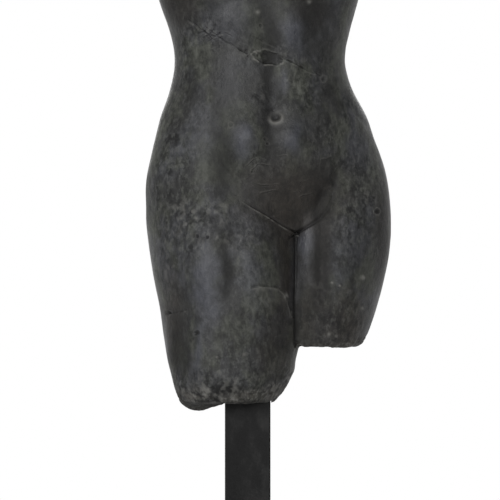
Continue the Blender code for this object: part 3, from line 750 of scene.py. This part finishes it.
# %% [markdown]
# A small kit for materials
#
# A procedural material is a chain of nodes. Three kinds carry most of the work: noise, a ramp that turns
# a value into a range, and a mix of two colours. Naming them as functions keeps each material readable.


# %% Node helpers
def new_material(name):
    """A material, its node tree and its main shader."""
    material = bpy.data.materials.new(name)
    material.use_nodes = True
    tree = material.node_tree
    return material, tree, tree.nodes["Principled BSDF"]


def texture_places(tree):
    """Places in metres on the object, for every texture of a material."""
    return tree.nodes.new("ShaderNodeTexCoord").outputs["Object"]


def stretched(tree, source, scale):
    """The same places, drawn out along an axis."""
    node = tree.nodes.new("ShaderNodeMapping")
    node.inputs["Scale"].default_value = scale
    tree.links.new(source, node.inputs["Vector"])
    return node.outputs["Vector"]


def grain(tree, source, size, detail=4.0, roughness=0.55):
    """Noise with lumps of this size in metres, from 0 to 1."""
    node = tree.nodes.new("ShaderNodeTexNoise")
    node.inputs["Scale"].default_value = 1 / size
    node.inputs["Detail"].default_value = detail
    node.inputs["Roughness"].default_value = roughness
    tree.links.new(source, node.inputs["Vector"])
    return node.outputs["Fac"]


def ranged(tree, source, low, high, to_low=0.0, to_high=1.0):
    """A value turned smoothly from one range into another."""
    node = tree.nodes.new("ShaderNodeMapRange")
    node.interpolation_type = "SMOOTHSTEP"
    for name, value in (("From Min", low), ("From Max", high), ("To Min", to_low), ("To Max", to_high)):
        node.inputs[name].default_value = value
    tree.links.new(source, node.inputs["Value"])
    return node.outputs["Result"]


def mixed(tree, share, first, second, kind="MIX"):
    """Two colours mixed. Each is a colour or another node's output, and so is the share."""
    node = tree.nodes.new("ShaderNodeMix")
    node.data_type = "RGBA"
    node.blend_type = kind
    for socket, given in ((node.inputs[0], share), (node.inputs[6], first), (node.inputs[7], second)):
        if hasattr(given, "links"):
            tree.links.new(given, socket)
        elif isinstance(given, tuple):
            socket.default_value = (*given, 1)
        else:
            socket.default_value = given
    return node.outputs[2]


def worked(tree, kind, first, second):
    """One sum on two values, such as ADD or MULTIPLY."""
    node = tree.nodes.new("ShaderNodeMath")
    node.operation = kind
    for socket, given in ((node.inputs[0], first), (node.inputs[1], second)):
        if hasattr(given, "links"):
            tree.links.new(given, socket)
        else:
            socket.default_value = given
    return node.outputs["Value"]


def share_of(tree, name):
    """A value that was stored on the mesh."""
    node = tree.nodes.new("ShaderNodeAttribute")
    node.attribute_name = name
    return node.outputs["Fac"]


def bumped(tree, height, distance, under=None):
    """A normal roughened by a height. distance is how high it is, in metres."""
    node = tree.nodes.new("ShaderNodeBump")
    node.inputs["Strength"].default_value = 1.0
    node.inputs["Distance"].default_value = distance
    tree.links.new(height, node.inputs["Height"])
    if under is not None:
        tree.links.new(under, node.inputs["Normal"])
    return node.outputs["Normal"]


# %% [markdown]
# Worn dark stone
#
# The stone is close to black, yet it never looks plain: olive where something has stained it, brown
# over the lower belly, blue-grey here and there at random, and pale in every scratch and break. Its
# colour also carries painted light: a blue-grey painted highlight where the lights fall on the chest,
# belly and thighs, which are glossier there too, a painted highlight on the lips that catch the light,
# and painted shade in the hollows and where the figure lies in shadow. The colours differ by very
# little, so they are mixed by broad, soft noise first and by fine specks last. The gloss is satin and
# varies with the same noise, which breaks the highlights up as on the real stone.

# %% Colours of the stone
STONE = (0.0215, 0.0215, 0.0208)
# Blue-grey of random tone, and the colour of the painted highlights
STONE_BLUE_AND_HIGHLIGHT = (0.045, 0.047, 0.056)
STONE_OLIVE = (0.040, 0.042, 0.034)
STONE_BROWN = (0.0215, 0.0170, 0.0130)
# Near-black of the dark specks, and the colour of the painted shade
STONE_DARK_AND_SHADE = (0.0050, 0.0048, 0.0046)
STONE_CRUST = (0.135, 0.140, 0.128)
STONE_PALE = (0.20, 0.195, 0.18)
STONE_BROKEN = (0.060, 0.056, 0.048)

stone, tree, shader = new_material("worn_dark_stone")
where = texture_places(tree)
upright = stretched(tree, where, (1.0, 1.0, 0.70))
broad = grain(tree, where, 0.040, 3.0)
clouds = grain(tree, upright, 0.022, 5.0, 0.62)
blotch = grain(tree, upright, 0.0065, 7.0, 0.72)
fine = grain(tree, upright, 0.0027, 4.0, 0.64)
speck = grain(tree, where, 0.0013, 3.0, 0.7)
mottled_here = share_of(tree, "mottled")
highlight_and_polish_here = share_of(tree, "highlight_and_polish")
shade_and_dull_here = share_of(tree, "shade_and_dull")

colour = mixed(tree, ranged(tree, broad, 0.42, 0.62, 0, 0.4), STONE, STONE_BLUE_AND_HIGHLIGHT)
colour = mixed(tree, ranged(tree, clouds, 0.46, 0.62, 0, 0.9), colour, STONE_OLIVE)
# Painted highlight: blue-grey where the lights fall
colour = mixed(tree, highlight_and_polish_here, colour, STONE_BLUE_AND_HIGHLIGHT)
colour = mixed(tree, worked(tree, "MULTIPLY", share_of(tree, "brown"), 0.9), colour, STONE_BROWN)
swing = worked(tree, "ADD", worked(tree, "MULTIPLY", mottled_here, 0.30), 0.38)
smoothed = worked(tree, "SUBTRACT", 1.0, worked(tree, "MULTIPLY", highlight_and_polish_here, 0.45))
swing = worked(tree, "MULTIPLY", swing, smoothed)
tone = worked(tree, "MULTIPLY", ranged(tree, blotch, 0.33, 0.67, -1.0, 1.0), swing)
fine_tone = worked(tree, "MULTIPLY", ranged(tree, fine, 0.33, 0.67, -0.5, 0.5), swing)
tone = worked(tree, "ADD", tone, fine_tone)
tone = worked(tree, "MAXIMUM", worked(tree, "ADD", tone, 1.0), 0.2)
colour = mixed(tree, 1.0, colour, tone, "MULTIPLY")
crust = ranged(tree, fine, 0.50, 0.64)
crust = worked(tree, "MULTIPLY", crust, ranged(tree, speck, 0.30, 0.60, 0.4, 1.0))
crust_amount = worked(tree, "ADD", worked(tree, "MULTIPLY", mottled_here, 0.27), 0.05)
colour = mixed(tree, worked(tree, "MULTIPLY", crust, crust_amount), colour, STONE_CRUST)
# Painted shade: the colour is darkened in the shaded patches
colour = mixed(tree, worked(tree, "MULTIPLY", shade_and_dull_here, 0.8), colour, STONE_DARK_AND_SHADE)
colour = mixed(tree, ranged(tree, speck, 0.68, 0.80, 0, 0.3), colour, STONE_PALE)
colour = mixed(tree, ranged(tree, speck, 0.34, 0.22, 0, 0.5), colour, STONE_DARK_AND_SHADE)
broken_colour = mixed(tree, ranged(tree, fine, 0.40, 0.75), STONE_BROKEN, STONE_PALE)
broken_here = share_of(tree, "broken")
uneven = ranged(tree, blotch, 0.36, 0.60, 0.15, 0.85)
broken_amount = worked(tree, "MULTIPLY", broken_here, uneven)
broken_amount = worked(tree, "MULTIPLY", broken_amount, worked(tree, "SUBTRACT", 1.0, shade_and_dull_here))
colour = mixed(tree, broken_amount, colour, broken_colour)
# Paler stone on the raised rims, and a painted highlight on the lips that catch the light
colour = mixed(tree, worked(tree, "MULTIPLY", share_of(tree, "pale"), 0.50), colour, STONE_PALE)
# Painted shade in the hollows
colour = mixed(tree, worked(tree, "MULTIPLY", share_of(tree, "hollow_shade"), 0.85), colour, STONE_DARK_AND_SHADE)
tree.links.new(colour, shader.inputs["Base Color"])
print("nodes in the stone's colour", len(tree.nodes))

# %% Gloss and grain of the stone
# Bumps are in metres
GRIT_BUMP, BLOTCH_BUMP, FINE_BUMP = 0.00014, 0.00065, 0.00028

gloss = ranged(tree, clouds, 0.35, 0.70, 0.42, 0.52)
gloss = worked(tree, "SUBTRACT", gloss, worked(tree, "MULTIPLY", highlight_and_polish_here, 0.12))
gloss = worked(tree, "ADD", gloss, worked(tree, "MULTIPLY", shade_and_dull_here, 0.22))
gloss = worked(tree, "ADD", gloss, worked(tree, "MULTIPLY", mottled_here, 0.10))
gloss = worked(tree, "ADD", gloss, worked(tree, "MULTIPLY", broken_here, 0.30))
tree.links.new(gloss, shader.inputs["Roughness"])
shader.inputs["Specular IOR Level"].default_value = 0.34
grit_bump = bumped(tree, speck, GRIT_BUMP)
blotch_bump = bumped(tree, blotch, BLOTCH_BUMP, grit_bump)
tree.links.new(bumped(tree, fine, FINE_BUMP, blotch_bump), shader.inputs["Normal"])
torso.data.materials.clear()
torso.data.materials.append(stone)
print("nodes in the stone", len(tree.nodes))

# %% [markdown]
# The post and its foot
#
# The post is square steel bar with satin black paint. A camera sees it as nearly plain, so what makes it
# real is small: soft smears of dust, and a faint grain in the paint. Its CAD shape is right and keeps its
# place; only the material is new. The foot has the same paint with fewer smears, and more dust on its top
# face, where dust settles.

# %% Satin black paint
PAINT = (0.0026, 0.0026, 0.0027)
DUST = (0.038, 0.037, 0.036)


def paint_material(name, dust_on_top, dust_share):
    """Satin black paint with smears of dust."""
    material, tree, shader = new_material(name)
    where = texture_places(tree)
    smear = grain(tree, stretched(tree, where, (1.0, 1.0, 0.5)), 0.012, 5.0, 0.7)
    fine = grain(tree, where, 0.0016, 3.0)
    upward = tree.nodes.new("ShaderNodeSeparateXYZ")
    tree.links.new(tree.nodes.new("ShaderNodeNewGeometry").outputs["Normal"], upward.inputs["Vector"])
    settled = worked(tree, "MULTIPLY", ranged(tree, upward.outputs["Z"], 0.3, 0.9), dust_on_top)
    smeared = ranged(tree, smear, 0.50, 0.70, 0.0, dust_share)
    dust = worked(tree, "ADD", settled, smeared)
    dust = worked(tree, "MULTIPLY", dust, ranged(tree, fine, 0.25, 0.75, 0.5, 1.0))
    tree.links.new(mixed(tree, dust, PAINT, DUST), shader.inputs["Base Color"])
    sheen = ranged(tree, smear, 0.3, 0.7, 0.34, 0.46)
    roughness = worked(tree, "ADD", sheen, worked(tree, "MULTIPLY", dust, 0.5))
    tree.links.new(roughness, shader.inputs["Roughness"])
    shader.inputs["Specular IOR Level"].default_value = 0.24
    tree.links.new(bumped(tree, fine, 0.00008), shader.inputs["Normal"])
    return material


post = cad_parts["post"]
post.data.materials.clear()
post.data.materials.append(paint_material("post_paint", 0.10, 0.45))
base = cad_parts["base"]
base.data.materials.clear()
base.data.materials.append(paint_material("base_paint", 0.22, 0.12))
print("painted", post.name, "and", base.name)

# %% [markdown]
# Light
#
# The picture has the even light of a catalogue: white all round, one large soft light from the viewer's
# upper left, and a weaker one from the right. Dark satin stone shows such lights as long pale streaks on
# the thighs and two soft ovals on the belly. The white behind the figure lightens its edges, and two soft
# lights behind it show the form of the back when the figure is turned.

# %% World light
AIR_IN_FRONT, AIR_BEHIND = 0.14, 1.1  # strength of the white that lights the figure

world = bpy.data.worlds.new("studio")
bpy.context.scene.world = world
world.use_nodes = True
air = world.node_tree
air.nodes.clear()
output = air.nodes.new("ShaderNodeOutputWorld")
seen = air.nodes.new("ShaderNodeBackground")
seen.inputs["Color"].default_value = (1, 1, 1, 1)
seen.inputs["Strength"].default_value = 1.0
lit = air.nodes.new("ShaderNodeBackground")
lit.inputs["Color"].default_value = (1, 1, 1, 1)
way = air.nodes.new("ShaderNodeSeparateXYZ")
air.links.new(air.nodes.new("ShaderNodeTexCoord").outputs["Generated"], way.inputs["Vector"])
strength = ranged(air, way.outputs["Y"], -0.2, 1.0, AIR_IN_FRONT, AIR_BEHIND)
air.links.new(strength, lit.inputs["Strength"])
rays = air.nodes.new("ShaderNodeLightPath")
either = air.nodes.new("ShaderNodeMixShader")
air.links.new(rays.outputs["Is Camera Ray"], either.inputs["Fac"])
air.links.new(lit.outputs["Background"], either.inputs[1])
air.links.new(seen.outputs["Background"], either.inputs[2])
air.links.new(either.outputs["Shader"], output.inputs["Surface"])
bpy.context.scene.view_settings.view_transform = "Standard"
print("world nodes", len(air.nodes))


# %% Soft lights
def soft_light(name, place, width, height, power, aim=(0.01, 0.0, 0.32)):
    """A large soft light that points at the figure."""
    data = bpy.data.lights.new(name, "AREA")
    data.shape = "RECTANGLE"
    data.size, data.size_y, data.energy = width, height, power
    light = bpy.data.objects.new(name, data)
    bpy.context.scene.collection.objects.link(light)
    light.location = place
    light.rotation_euler = (Vector(aim) - Vector(place)).to_track_quat("-Z", "Y").to_euler()
    print(name, "gives", power, "W")


soft_light("key_light", (-0.95, -1.80, 1.00), 0.8, 1.0, 28)
soft_light("fill_light", (0.62, -1.95, 0.80), 0.4, 0.8, 12)
soft_light("back_light", (0.5, 2.0, 1.15), 0.8, 0.8, 14)
soft_light("back_fill_light", (-0.55, 2.0, 0.9), 0.5, 0.9, 7)

# %% [markdown]
# The floor
#
# A plain pale floor carries the foot. It ends before it would come into the picture, where the post runs
# out of the lower edge against white.

# %% A plain floor
FLOOR_RADIUS = 1.2
disc = bmesh.new()
bmesh.ops.create_circle(disc, cap_ends=True, segments=96, radius=FLOOR_RADIUS)
floor_mesh = bpy.data.meshes.new("floor")
disc.to_mesh(floor_mesh)
disc.free()
floor = bpy.data.objects.new("floor", floor_mesh)
bpy.context.scene.collection.objects.link(floor)
floor_material, tree, shader = new_material("pale_floor")
shader.inputs["Base Color"].default_value = (0.78, 0.78, 0.78, 1)
shader.inputs["Roughness"].default_value = 0.9
floor.data.materials.append(floor_material)
print("floor", 2 * FLOOR_RADIUS, "m across")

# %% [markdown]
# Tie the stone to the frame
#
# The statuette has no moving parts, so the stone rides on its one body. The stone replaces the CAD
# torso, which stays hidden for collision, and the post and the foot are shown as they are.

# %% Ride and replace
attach(torso, "root")
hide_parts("torso")
